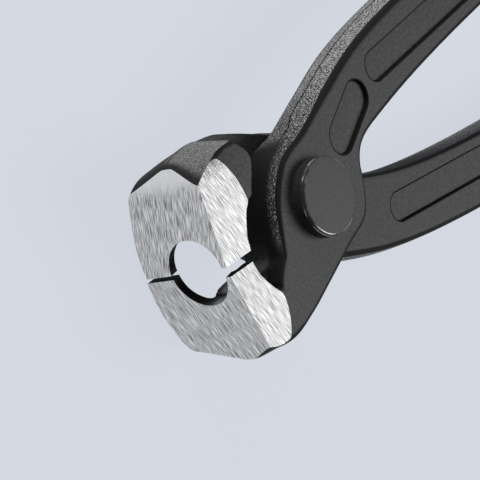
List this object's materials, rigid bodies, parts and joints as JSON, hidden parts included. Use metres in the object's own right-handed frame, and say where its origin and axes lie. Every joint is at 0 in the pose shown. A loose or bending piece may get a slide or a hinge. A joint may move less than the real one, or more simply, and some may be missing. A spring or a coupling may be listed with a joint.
{
  "type": "ear clamp pliers",
  "caption": "Pincer pliers for ear clamps: crossed black forged levers on a headed rivet, with a round mouth between ground front jaws and side jaws.",
  "frame": {"origin": "centre of the face of the rivet's rear head, on which the pliers lie", "axes": "+Z along the rivet towards its front head, +X out of the jaws, +Y towards the front lever's jaw"},
  "size_m": [0.22, 0.0596, 0.0247],
  "materials": {
    "black_steel": "black phosphated forging, jaws ground bright",
    "rivet_steel": "blackened, turned faces"
  },
  "bodies": {
    "front_lever": {"front_lever": "black_steel", "joint_rivet": "rivet_steel"},
    "rear_lever": {"rear_lever": "black_steel"}
  },
  "joints": [
    {"name": "jaw_hinge", "type": "hinge", "parent": "front_lever", "child": "rear_lever", "pos_m": [0, 0, 0], "axis": [0, 0, -1], "range_deg": [-1.6, 36]}
  ]
}
